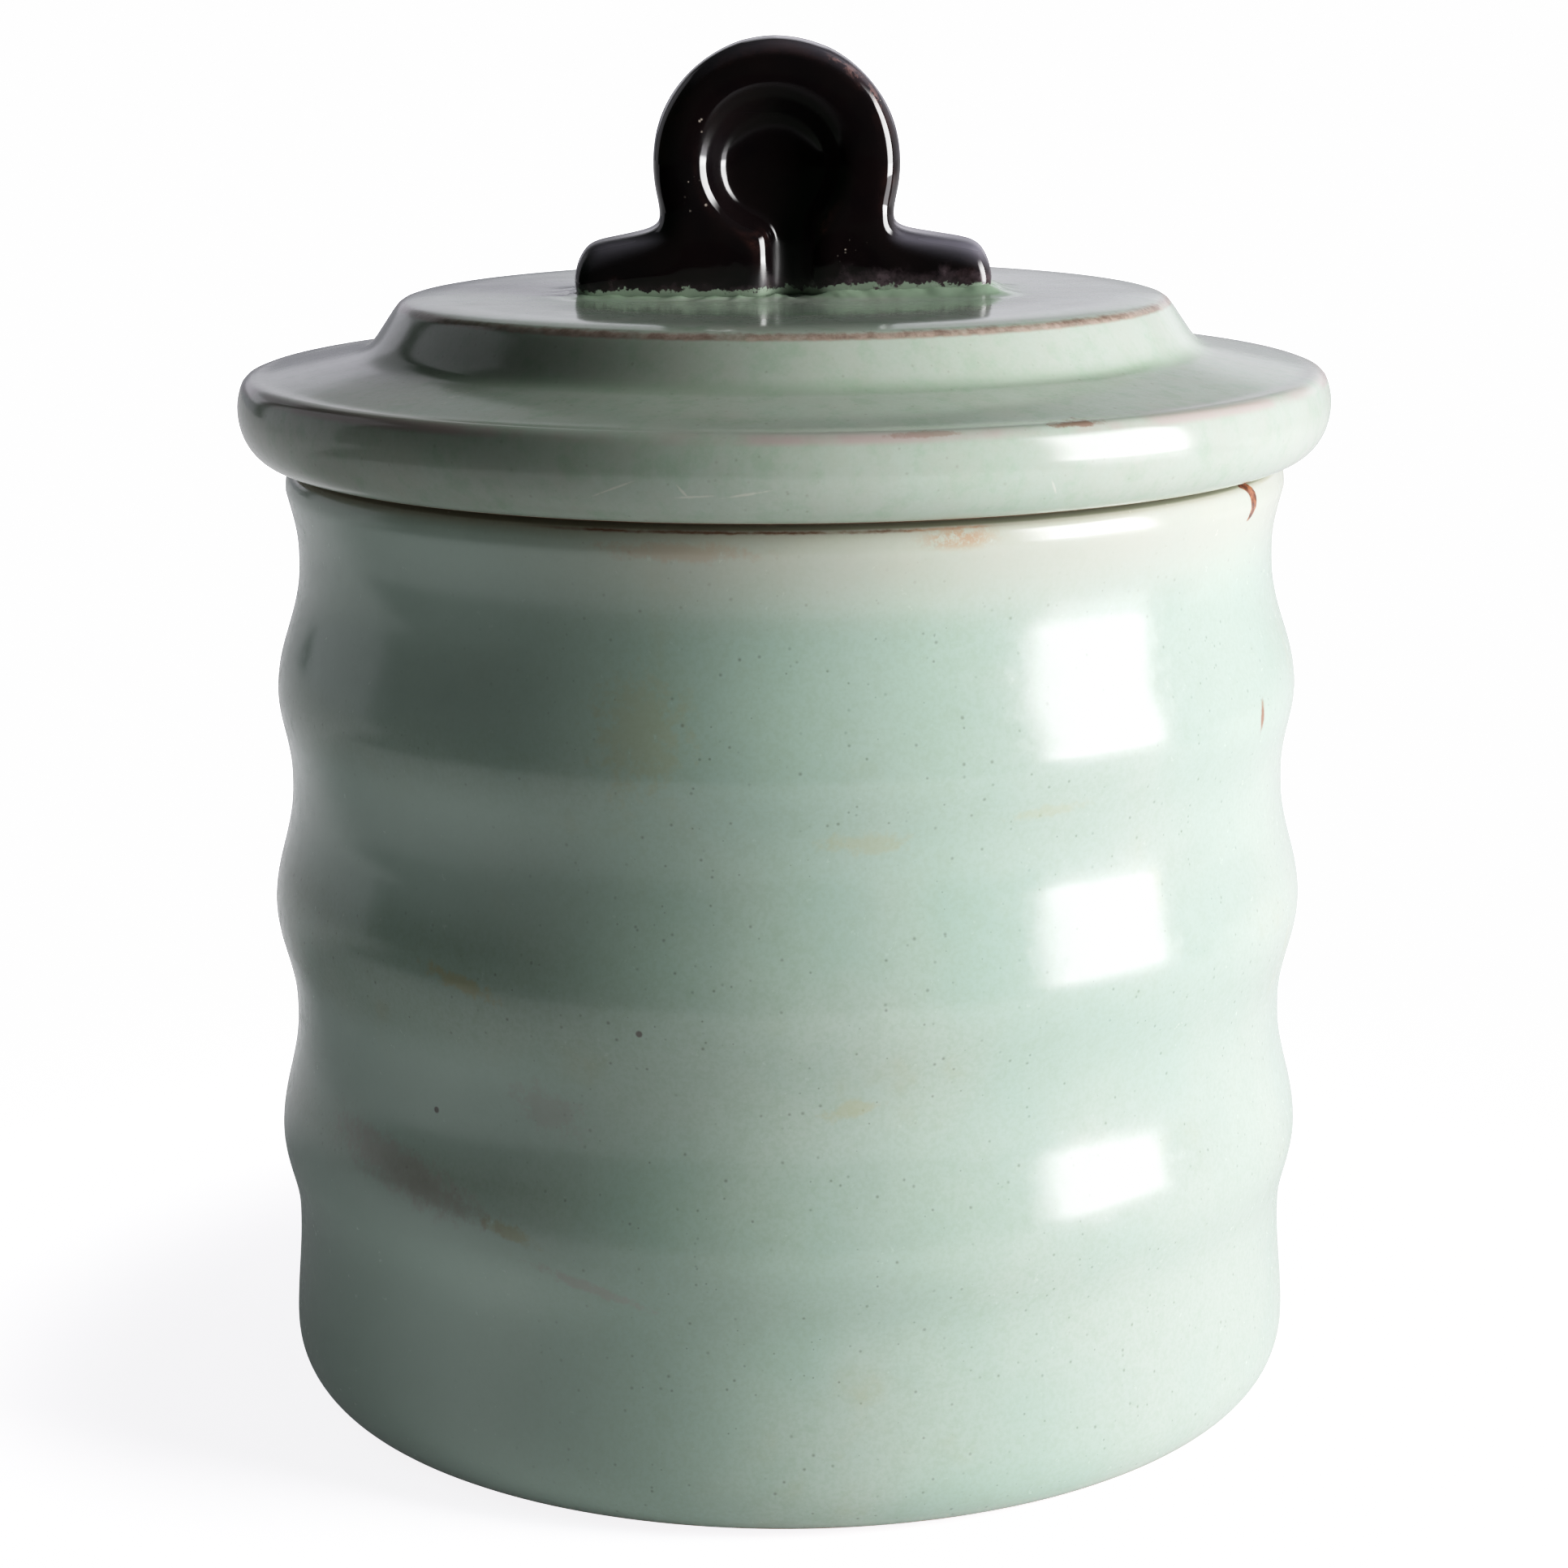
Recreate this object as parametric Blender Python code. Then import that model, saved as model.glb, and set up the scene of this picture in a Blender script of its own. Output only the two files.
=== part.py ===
"""A lidded stoneware jar: a ribbed body, a stepped lid that lifts off, and a handle luted onto the lid.

Metres, +Z up. The origin is the middle of the foot ring's resting plane, on the jar's axis.
"""

import math

import bmesh
import bpy
from mathutils import Matrix, Vector

MM = 0.001
SEGMENTS = 48  # sides of every turned piece
CLEARANCE = 0.3 * MM  # between pieces that rest on each other

# Jar body, outside. Heights are above the table, radii are from the axis.
BODY_HEIGHT = 110.0 * MM
FOOT_CORNER_HEIGHT = 7.6 * MM
FOOT_CORNER_WIDTH = 6.5 * MM
FOOT_RING_WIDTH = 5.5 * MM
FOOT_RING_HEIGHT = 2.0 * MM
FOOT_RING_DRAFT = 1.5 * MM
LIP_ROUND = 1.2 * MM
RIB_SHARPNESS = 1.3  # 1 is a plain cosine wave; more makes narrower crests and broader hollows
WALL_TURNS = (  # (height, radius) wherever the wall turns from swelling to narrowing or back
    (FOOT_CORNER_HEIGHT, 59.2 * MM),
    (21.2 * MM, 58.5 * MM),
    (31.3 * MM, 60.2 * MM),
    (46.0 * MM, 58.0 * MM),
    (58.8 * MM, 60.1 * MM),
    (73.5 * MM, 57.7 * MM),
    (83.9 * MM, 59.1 * MM),
    (99.4 * MM, 56.1 * MM),
    (BODY_HEIGHT, 57.8 * MM),
)
OUTER_STEPS = 4  # facets between two turns of the wall, outside and inside
INNER_STEPS = 2

# Jar body, inside.
WALL = 5.6 * MM
FLOOR = 5.6 * MM
FLOOR_FILLET = 8.0 * MM

# Lid, outside. Heights are above the seat, the plane where the lid meets the body's lip.
SEAT = BODY_HEIGHT + CLEARANCE
LID_RADIUS = 62.5 * MM
RIM_BOTTOM_RADIUS = 58.1 * MM
RIM_MIDDLE = 6.0 * MM
RIM_TOP = 9.4 * MM
RIM_TOP_RADIUS = 60.3 * MM
BRIM_INNER = 12.0 * MM
BRIM_INNER_RADIUS = 47.6 * MM
COVE_ROUND = 3.0 * MM
STEP_EDGE = 17.4 * MM
STEP_EDGE_RADIUS = 43.9 * MM
CROWN = 18.4 * MM
CROWN_ROUND_WIDTH = 5.8 * MM

# Lid, underneath: a hollow, and a flange that drops inside the body's mouth.
LID_THICKNESS = 6.2 * MM
FLANGE_RADIUS = 49.3 * MM
FLANGE_WALL = 4.4 * MM
FLANGE_DEPTH = 7.0 * MM
FLANGE_ROUND = 1.2 * MM

# Handle: a ring on a foot bar, cut from one thick slab, with a keyhole dish in each face. It stands on
# a low bed of slip. Heights are above the lid's crown, and (across, up) pairs lie in the slab's face.
BED_HEIGHT = 1.1 * MM
BED_MARGIN = 0.4 * MM
BED_SLOPE = 1.4 * MM
HANDLE_THICKNESS = 12.0 * MM
HANDLE_HALF_LENGTH = 23.5 * MM
HANDLE_EDGE_ROUND = 1.7 * MM
RING_RADIUS = 13.85 * MM
RING_CENTRE = (-0.7 * MM, 14.3 * MM)
TOE_HEIGHT = 4.9 * MM
TOE_ROUND = 1.8 * MM
INSTEP_HEIGHT = 6.9 * MM
INSTEP_ROUND = 2.6 * MM
DISH_RADIUS = 7.7 * MM
DISH_CENTRE = (-1.2 * MM, 14.3 * MM)
DISH_FLARE = 0.9 * MM  # how far the dish's mouth widens at the slab's face
DISH_FLOOR_RADIUS = 5.7 * MM
DISH_FLOOR_CENTRE = (-0.3 * MM, 13.2 * MM)
DISH_DEPTH = 3.4 * MM
SLOT_MIDDLE = 0.4 * MM
SLOT_HALF_WIDTH = 1.85 * MM

CELADON = (0.52, 0.66, 0.56)
DARK_BROWN = (0.018, 0.010, 0.009)


def clear_scene():
    for obj in list(bpy.data.objects):
        bpy.data.objects.remove(obj)


def glaze(name, colour, roughness):
    """A glazed stoneware material."""
    material = bpy.data.materials.new(name)
    material.use_nodes = True
    shader = material.node_tree.nodes["Principled BSDF"]
    shader.inputs["Base Color"].default_value = (*colour, 1.0)
    shader.inputs["Roughness"].default_value = roughness
    shader.inputs["Metallic"].default_value = 0.0
    return material


def arc(centre, width, height, start, end, steps):
    """Points along an elliptical arc between two angles in degrees, without its first point."""
    points = []
    for i in range(1, steps + 1):
        angle = math.radians(start + (end - start) * i / steps)
        points.append((centre[0] + width * math.cos(angle), centre[1] + height * math.sin(angle)))
    return points


def fillet(before, corner, after, radius, steps):
    """A circular arc that rounds the corner between two straight stretches."""
    corner, before, after = Vector(corner), Vector(before), Vector(after)
    to_before = (before - corner).normalized()
    to_after = (after - corner).normalized()
    half = to_before.angle(to_after) / 2
    centre = corner + (to_before + to_after).normalized() * (radius / math.sin(half))
    first = corner + to_before * (radius / math.tan(half)) - centre
    last = corner + to_after * (radius / math.tan(half)) - centre
    turn = first.angle_signed(last)
    return [tuple(centre + Matrix.Rotation(-turn * i / steps, 2) @ first) for i in range(steps + 1)]


def soft_turn(before, corner, after, reach, steps):
    """A quadratic curve round a corner, from reach before it to reach after it."""
    before, corner, after = Vector(before), Vector(corner), Vector(after)
    first = corner + (before - corner).normalized() * reach
    last = corner + (after - corner).normalized() * reach
    points = []
    for i in range(steps + 1):
        t = i / steps
        points.append(tuple(first * (1 - t) ** 2 + corner * (2 * t * (1 - t)) + last * t**2))
    return points


def finished(name, bm, material):
    """Makes the object, shaded smooth except at its sharp edges."""
    bmesh.ops.recalc_face_normals(bm, faces=bm.faces)
    mesh = bpy.data.meshes.new(name)
    bm.to_mesh(mesh)
    bm.free()
    mesh.shade_smooth()
    mesh.set_sharp_from_angle(angle=math.radians(35))
    mesh.materials.append(material)
    obj = bpy.data.objects.new(name, mesh)
    bpy.context.scene.collection.objects.link(obj)
    return obj


def turned(name, outline, material):
    """Turns a (radius, height) outline that starts and ends on the axis into one closed piece."""
    bm = bmesh.new()
    verts = [bm.verts.new((r, 0.0, z)) for r, z in outline]
    edges = [bm.edges.new(pair) for pair in zip(verts, verts[1:])]
    bmesh.ops.spin(
        bm,
        geom=verts + edges,
        cent=(0, 0, 0),
        axis=(0, 0, 1),
        angle=math.tau,
        steps=SEGMENTS,
        use_merge=True,
    )
    bmesh.ops.remove_doubles(bm, verts=bm.verts, dist=1e-6)
    return finished(name, bm, material)


def skinned(name, loops, material):
    """A closed piece through a stack of loops that all have the same number of points."""
    bm = bmesh.new()
    rings = [[bm.verts.new(point) for point in loop] for loop in loops]
    for lower, upper in zip(rings, rings[1:]):
        for i in range(len(lower)):
            j = (i + 1) % len(lower)
            bm.faces.new((lower[i], lower[j], upper[j], upper[i]))
    bm.faces.new(rings[0])
    bm.faces.new(rings[-1])
    return finished(name, bm, material)


def combine(obj, tool, operation):
    """Joins the tool to the object, or cuts it out of the object, and hides the tool."""
    tool.parent = obj
    tool.hide_render = True
    tool.display_type = "WIRE"
    modifier = obj.modifiers.new(tool.name, "BOOLEAN")
    modifier.object = tool
    modifier.operation = operation
    modifier.solver = "EXACT"


def wall_radius(height):
    """The body's outer radius at a height on its ribbed wall."""
    for (low, r_low), (high, r_high) in zip(WALL_TURNS, WALL_TURNS[1:]):
        if height <= high:
            share = (1 - math.cos(math.pi * (height - low) / (high - low))) / 2
            if r_high >= r_low:
                return r_low + (r_high - r_low) * share**RIB_SHARPNESS
            return r_high + (r_low - r_high) * (1 - share) ** RIB_SHARPNESS
    return WALL_TURNS[-1][1]


def wall_heights(bottom, top, steps):
    """Heights between bottom and top that cut each stretch between two turns into equal steps."""
    heights = []
    for (low, _), (high, _) in zip(WALL_TURNS, WALL_TURNS[1:]):
        heights += [low + (high - low) * i / steps for i in range(steps)]
    return [height for height in heights if bottom < height < top]


def body_outline():
    foot_outer = WALL_TURNS[0][1] - FOOT_CORNER_WIDTH
    foot_inner = foot_outer - FOOT_RING_WIDTH
    lip_base = BODY_HEIGHT - LIP_ROUND
    lip_outer = wall_radius(lip_base)
    lip_inner = lip_outer - WALL
    floor = FOOT_RING_HEIGHT + FLOOR
    fillet_top = floor + FLOOR_FILLET
    fillet_centre = (wall_radius(fillet_top) - WALL - FLOOR_FILLET, fillet_top)

    outline = [(0.0, FOOT_RING_HEIGHT), (foot_inner - FOOT_RING_DRAFT, FOOT_RING_HEIGHT)]
    outline += [(foot_inner, 0.0), (foot_outer, 0.0)]
    outline += arc((foot_outer, FOOT_CORNER_HEIGHT), FOOT_CORNER_WIDTH, FOOT_CORNER_HEIGHT, -90, 0, 6)
    outline += [(wall_radius(z), z) for z in wall_heights(FOOT_CORNER_HEIGHT, lip_base, OUTER_STEPS)]
    outline.append((lip_outer, lip_base))
    outline += arc((lip_outer - LIP_ROUND, lip_base), LIP_ROUND, LIP_ROUND, 0, 90, 3)
    outline.append((lip_inner + LIP_ROUND, BODY_HEIGHT))
    outline += arc((lip_inner + LIP_ROUND, lip_base), LIP_ROUND, LIP_ROUND, 90, 180, 3)
    inner_heights = wall_heights(fillet_top + LIP_ROUND, lip_base, INNER_STEPS)
    outline += [(wall_radius(z) - WALL, z) for z in reversed(inner_heights)]
    outline.append((wall_radius(fillet_top) - WALL, fillet_top))
    outline += arc(fillet_centre, FLOOR_FILLET, FLOOR_FILLET, 0, -90, 4)
    outline.append((0.0, floor))
    return outline


def lid_outline():
    ceiling = CROWN - LID_THICKNESS
    flange_inner = FLANGE_RADIUS - FLANGE_WALL
    flange_end = FLANGE_ROUND - FLANGE_DEPTH
    rim_top = (RIM_TOP_RADIUS, RIM_TOP)
    brim_inner = (BRIM_INNER_RADIUS, BRIM_INNER)
    step_edge = (STEP_EDGE_RADIUS, STEP_EDGE)
    rim_bottom_width = LID_RADIUS - RIM_BOTTOM_RADIUS
    rim_top_width = LID_RADIUS - RIM_TOP_RADIUS
    crown_centre = (STEP_EDGE_RADIUS - CROWN_ROUND_WIDTH, STEP_EDGE)

    outline = [(0.0, ceiling), (STEP_EDGE_RADIUS - LID_THICKNESS, ceiling)]
    outline += [(flange_inner, FLANGE_ROUND), (flange_inner, flange_end)]
    outline += arc((flange_inner + FLANGE_ROUND, flange_end), FLANGE_ROUND, FLANGE_ROUND, 180, 270, 3)
    outline.append((FLANGE_RADIUS - FLANGE_ROUND, -FLANGE_DEPTH))
    outline += arc((FLANGE_RADIUS - FLANGE_ROUND, flange_end), FLANGE_ROUND, FLANGE_ROUND, 270, 360, 3)
    outline += [(FLANGE_RADIUS, 0.0), (RIM_BOTTOM_RADIUS, 0.0)]
    outline += arc((RIM_BOTTOM_RADIUS, RIM_MIDDLE), rim_bottom_width, RIM_MIDDLE, -90, 0, 6)
    outline += arc((RIM_TOP_RADIUS, RIM_MIDDLE), rim_top_width, RIM_TOP - RIM_MIDDLE, 0, 90, 5)
    outline += fillet(rim_top, brim_inner, step_edge, COVE_ROUND, 4)
    outline.append(step_edge)
    outline += arc(crown_centre, CROWN_ROUND_WIDTH, CROWN - STEP_EDGE, 0, 90, 4)
    outline.append((0.0, CROWN))
    return outline


def bed_outline(spread):
    """The slip bed's outline on the lid, a rounded rectangle grown by spread on every side."""
    corner_x = HANDLE_HALF_LENGTH + BED_MARGIN - TOE_ROUND
    corner_y = HANDLE_THICKNESS / 2 + BED_MARGIN - TOE_ROUND
    reach = TOE_ROUND + spread
    points = []
    for start, x, y in ((0, 1, 1), (90, -1, 1), (180, -1, -1), (270, 1, -1)):
        centre = (x * corner_x, y * corner_y)
        points += arc(centre, reach, reach, start - 22.5, start + 90, 5)
    return points


def bed_loops():
    """The slip bed, from a little inside the lid up to the level the handle stands on."""
    levels = (
        (-BED_HEIGHT, BED_SLOPE),
        (0.0, BED_SLOPE),
        (0.35 * BED_HEIGHT, 0.45 * BED_SLOPE),
        (BED_HEIGHT, 0.0),
    )
    return [[(x, y, height) for x, y in bed_outline(spread)] for height, spread in levels]


def foot_points(side):
    """From the end of the sole, over the toe and up the instep to the ring: side 1 is right, -1 left."""
    tip = side * HANDLE_HALF_LENGTH
    ring_x, ring_z = RING_CENTRE
    sole = (tip, BED_HEIGHT + CLEARANCE)
    toe = (tip, TOE_HEIGHT)
    reach = math.sqrt(RING_RADIUS**2 - (ring_z - INSTEP_HEIGHT) ** 2)
    instep = (ring_x + side * reach, INSTEP_HEIGHT)
    onto_ring = (instep[0] + side * 0.35 * INSTEP_ROUND, INSTEP_HEIGHT + INSTEP_ROUND)
    points = [sole]
    points += soft_turn(sole, toe, instep, TOE_ROUND, 3)
    points += soft_turn(toe, instep, onto_ring, INSTEP_ROUND, 3)
    return points


def handle_outline():
    """The slab's outline, anticlockwise from the right end of the sole to the left end."""
    ring_x, ring_z = RING_CENTRE
    right = foot_points(1)
    left = foot_points(-1)
    start = math.degrees(math.atan2(right[-1][1] - ring_z, right[-1][0] - ring_x))
    end = math.degrees(math.atan2(left[-1][1] - ring_z, left[-1][0] - ring_x)) + 360
    ring = arc(RING_CENTRE, RING_RADIUS, RING_RADIUS, start, end, 30)[:-1]
    return right + ring + left[::-1]


def keyhole(centre, radius, half_width):
    """A circle that opens down into a straight slot, anticlockwise from the slot's right foot."""
    drop = math.sqrt(radius**2 - half_width**2)
    offset = SLOT_MIDDLE - centre[0]
    start = math.degrees(math.atan2(-drop, offset + half_width))
    end = math.degrees(math.atan2(-drop, offset - half_width)) + 360
    below_sole = -BED_HEIGHT
    right_foot = (SLOT_MIDDLE + half_width, below_sole)
    left_foot = (SLOT_MIDDLE - half_width, below_sole)
    return [right_foot, *arc(centre, radius, radius, start, end, 22), left_foot]


def dish_loops(side):
    """The keyhole dish in one face of the slab, from outside the face to its floor: side -1 is the front."""
    face = HANDLE_THICKNESS / 2
    levels = (
        (face + DISH_FLARE, DISH_CENTRE, DISH_RADIUS + 2 * DISH_FLARE, 1.8),
        (face, DISH_CENTRE, DISH_RADIUS + DISH_FLARE, 1.4),
        (face - DISH_FLARE, DISH_CENTRE, DISH_RADIUS, 1.0),
        (face - DISH_DEPTH, DISH_FLOOR_CENTRE, DISH_FLOOR_RADIUS, 0.7),
    )
    loops = []
    for depth, centre, radius, widening in levels:
        shape = keyhole(centre, radius, SLOT_HALF_WIDTH * widening)
        loops.append([(x, side * depth, z) for x, z in shape])
    return loops


def build_body(material):
    turned("jar_body", body_outline(), material)


def build_lid(material, lift):
    lid = turned("lid", lid_outline(), material)
    lid.parent = lift
    bed = skinned("slip_bed_tool", bed_loops(), material)
    bed.location.z = CROWN
    combine(lid, bed, "UNION")


def is_rim_above_sole(edge):
    """Whether an edge lies in one face of the slab and not along its sole."""
    first, second = (vert.co for vert in edge.verts)
    in_one_face = abs(first.y - second.y) < CLEARANCE
    return in_one_face and max(first.z, second.z) > BED_HEIGHT + 2 * CLEARANCE


def build_handle(material, lift):
    """The handle's slab with its edges rounded, and a dish cut into each face."""
    bm = bmesh.new()
    verts = [bm.verts.new((x, -HANDLE_THICKNESS / 2, z)) for x, z in handle_outline()]
    extruded = bmesh.ops.extrude_face_region(bm, geom=[bm.faces.new(verts)])
    moved = [item for item in extruded["geom"] if isinstance(item, bmesh.types.BMVert)]
    bmesh.ops.translate(bm, vec=(0, HANDLE_THICKNESS, 0), verts=moved)
    rims = [edge for edge in bm.edges if is_rim_above_sole(edge)]
    bmesh.ops.bevel(bm, geom=rims, offset=HANDLE_EDGE_ROUND, segments=3, profile=0.5, affect="EDGES")
    handle = finished("lid_handle", bm, material)
    handle.parent = lift
    handle.location.z = CROWN
    combine(handle, skinned("front_dish_tool", dish_loops(-1), material), "DIFFERENCE")
    combine(handle, skinned("back_dish_tool", dish_loops(1), material), "DIFFERENCE")


def main():
    clear_scene()
    celadon = glaze("celadon_glaze", CELADON, 0.22)
    dark_brown = glaze("dark_brown_glaze", DARK_BROWN, 0.08)
    lift = bpy.data.objects.new("lid_lift_axis", None)
    lift.location.z = SEAT
    bpy.context.scene.collection.objects.link(lift)
    build_body(celadon)
    build_lid(celadon, lift)
    build_handle(dark_brown, lift)


main()
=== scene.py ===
"""The looks of the lidded stoneware jar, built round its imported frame: shapes, glazes, studio and camera.

Metres, +Z up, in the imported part's own frame. Azimuths are in degrees round the jar's axis, 0 at the front
(-Y) and growing towards the right (+X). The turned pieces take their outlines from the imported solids.
"""

import math

import bpy
import numpy as np
from mathutils import Matrix, Vector, noise


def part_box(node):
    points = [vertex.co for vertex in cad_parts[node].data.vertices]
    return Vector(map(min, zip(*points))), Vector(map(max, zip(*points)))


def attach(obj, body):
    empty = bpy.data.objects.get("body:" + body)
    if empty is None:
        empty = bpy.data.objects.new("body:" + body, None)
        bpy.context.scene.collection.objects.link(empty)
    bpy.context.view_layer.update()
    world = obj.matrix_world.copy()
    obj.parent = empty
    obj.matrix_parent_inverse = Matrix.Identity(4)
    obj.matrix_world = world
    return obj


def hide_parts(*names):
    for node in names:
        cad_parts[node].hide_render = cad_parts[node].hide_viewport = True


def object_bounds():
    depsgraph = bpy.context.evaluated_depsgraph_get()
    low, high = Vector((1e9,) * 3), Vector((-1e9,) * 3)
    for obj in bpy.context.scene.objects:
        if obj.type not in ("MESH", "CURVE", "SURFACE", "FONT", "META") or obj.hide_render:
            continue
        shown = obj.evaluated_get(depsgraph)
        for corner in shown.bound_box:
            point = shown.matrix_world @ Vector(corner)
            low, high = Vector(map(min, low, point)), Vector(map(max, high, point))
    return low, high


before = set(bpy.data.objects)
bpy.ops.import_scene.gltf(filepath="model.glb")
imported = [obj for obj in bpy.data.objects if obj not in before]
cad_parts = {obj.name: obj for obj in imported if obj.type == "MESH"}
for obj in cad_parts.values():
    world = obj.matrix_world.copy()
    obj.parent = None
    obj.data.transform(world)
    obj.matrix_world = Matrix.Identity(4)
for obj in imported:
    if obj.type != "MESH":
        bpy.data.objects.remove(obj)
CAD_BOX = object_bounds()

MM = 0.001
BODY_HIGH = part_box("jar_body")[1]
LID_LOW, LID_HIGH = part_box("lid")
HANDLE_LOW, HANDLE_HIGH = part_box("lid_handle")

# Turned pieces.
SEGMENTS = 192
OUTLINE_STEP = 0.65 * MM
BODY_CORNER_PASSES = 4  # rounds of averaging that soften the outline's corners
LID_CORNER_PASSES = 2
LIP_PASSES = 10  # further rounds for the body's outer lip
LIP_DEPTH = 2.6 * MM  # how far down from the mouth the lip's own rounding reaches
LIP_INSIDE = BODY_HIGH.z * 0.505  # that rounding acts outside this radius
MOUTH_SEAT = 55.8 * MM  # the radius inside which the mouth's rim is left unglazed
BEAD_CREST = Vector((61.2 * MM, 119.3 * MM))  # radius and height of the bead's rounded upper corner
BEAD_SWELL = 0.35 * MM  # how far that corner is pushed out
BEAD_REACH = 1.3 * MM
HAND_WOBBLE = 0.06 * MM
CROWN_RADIUS = 38 * MM  # well inside the brown edge round the lid's crown
CROWN_SAG = 0.3 * MM  # how much the crown sinks under the thickness of its own glaze
CROWN_DIP = 0.5 * MM  # and how much further in its middle

# Handle.
HANDLE_VOXEL = 0.28 * MM
HANDLE_GROWTH = 0.29 * MM  # glaze laid on before the edges are rounded
HANDLE_ROUNDING = 85  # rounds of averaging that round its edges
EXTRA_ROUNDING = 50  # further rounds for the upper edges of the feet and for the dishes' hollows
RING_RADIUS = 13.85 * MM
RING_HEIGHT = HANDLE_HIGH.z - RING_RADIUS
DISH_FLOOR = 2.6 * MM  # how far the dishes' floors are from the middle of the handle's thickness
SUNK_FLOOR = 2.5 * MM  # the same once the floor is sunk to make up for the glaze
SUNK_SLOT = DISH_FLOOR * 1.45
SLOT_MIDDLE = 0.4 * MM
SLOT_HALF = 3.5 * MM
SLOT_SPREAD = 1.25
HANDLE_ROOT = 2.1 * MM  # how far the handle's sole sinks into the lid
NECK_HEIGHT = HANDLE_LOW.z + 6.8 * MM
NECK_FILL = 0.45 * MM

# Glaze bed round the handle's foot.
BED_RISE = 0.40 * MM
BED_LEAN = 0.85 * MM  # how much higher it climbs on the right
BED_RAGGED = 0.30 * MM  # how much noise moves its upper line
BED_REACH = 4.0 * MM


# ---------------------------------------------------------------------------------------------- outlines


def cad_outline(node):
    """A turned node's outline in the half-plane y = 0, x > 0, as (radius, height) pairs from axis to axis."""
    tolerance = 1e-5
    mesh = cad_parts[node].data
    links = {}
    for edge in mesh.edges:
        ends = [mesh.vertices[index].co for index in edge.vertices]
        if all(abs(co.y) < tolerance and co.x > tolerance for co in ends):
            first, second = ((round(co.x, 6), round(co.z, 6)) for co in ends)
            if first != second:
                links.setdefault(first, set()).add(second)
                links.setdefault(second, set()).add(first)
    lowest_end = min((point for point in links if len(links[point]) == 1), key=lambda point: point[1])
    outline = [lowest_end]
    while True:
        onward = sorted(point for point in links[outline[-1]] if point not in outline)
        if not onward:
            break
        outline.append(onward[0])
    outline = [(0.0, outline[0][1]), *outline, (0.0, outline[-1][1])]
    return [Vector(point) for point in outline]


def curved_outline(points, step):
    """A finer outline through the same points, curved wherever it turns gently and sharp elsewhere."""
    gentle = math.radians(32)
    tangents = []
    for i, point in enumerate(points):
        before = points[max(i - 1, 0)]
        after = points[min(i + 1, len(points) - 1)]
        into, out_of = point - before, after - point
        if i in (0, len(points) - 1):
            tangents.append(((after - before).normalized(),) * 2)
        elif into.angle(out_of) < gentle:
            tangents.append(((after - before).normalized(),) * 2)
        else:
            tangents.append((into.normalized(), out_of.normalized()))
    fine = [points[0]]
    for i, (start, end) in enumerate(zip(points, points[1:])):
        length = (end - start).length
        count = max(1, round(length / step))
        leave, arrive = tangents[i][1] * length, tangents[i + 1][0] * length
        for k in range(1, count + 1):
            t = k / count
            spot = start * (2 * t**3 - 3 * t**2 + 1) + leave * (t**3 - 2 * t**2 + t)
            fine.append(spot + end * (3 * t**2 - 2 * t**3) + arrive * (t**3 - t**2))
    return fine


def even_outline(points, step):
    """The same outline with its points an even step apart."""
    lengths = [0.0]
    for start, end in zip(points, points[1:]):
        lengths.append(lengths[-1] + (end - start).length)
    count = round(lengths[-1] / step)
    even, i = [], 0
    for k in range(count + 1):
        along = lengths[-1] * k / count
        while i < len(points) - 2 and lengths[i + 1] < along:
            i += 1
        share = (along - lengths[i]) / max(lengths[i + 1] - lengths[i], 1e-9)
        even.append(points[i].lerp(points[i + 1], share))
    return even


def softened(points, passes, chosen=lambda point: True):
    """Averages every chosen point with its neighbours, so that corners turn round."""
    for _ in range(passes):
        means = [(points[i - 1] + points[i] * 2 + points[i + 1]) / 4 for i in range(1, len(points) - 1)]
        middle = [mean if chosen(point) else point for point, mean in zip(points[1:-1], means)]
        points = [points[0], *middle, points[-1]]
    return points


def swollen(points, centre, amount, reach):
    """Pushes the outline outwards round one spot, which makes a rounded corner there crisper."""
    pushed = [points[0]]
    for before, point, after in zip(points, points[1:], points[2:]):
        onward = (after - before).normalized()
        share = math.exp(-(((point - centre).length / reach) ** 2))
        pushed.append(point + Vector((onward.y, -onward.x)) * amount * share)
    return [*pushed, points[-1]]


def turning(points):
    """How fast the outline turns at each point, per millimetre: positive where the piece is convex."""
    rates = [0.0]
    for before, point, after in zip(points, points[1:], points[2:]):
        into, out_of = point - before, after - point
        angle = into.angle_signed(out_of, 0.0)
        rates.append(-angle / ((into.length + out_of.length) / 2) * MM)
    return rates + [0.0]


# ------------------------------------------------------------------------------------------------ meshes


def smoothstep(low, high, value):
    share = min(max((value - low) / (high - low), 0.0), 1.0)
    return share * share * (3 - 2 * share)


def new_object(name, mesh, material):
    mesh.shade_smooth()
    mesh.materials.clear()
    mesh.materials.append(material)
    obj = bpy.data.objects.new(name, mesh)
    bpy.context.scene.collection.objects.link(obj)
    return obj


def store(mesh, name, values):
    """Keeps one number for every vertex, for the materials to read."""
    layer = mesh.attributes.new(name, "FLOAT", "POINT")
    layer.data.foreach_set("value", values)


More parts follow.
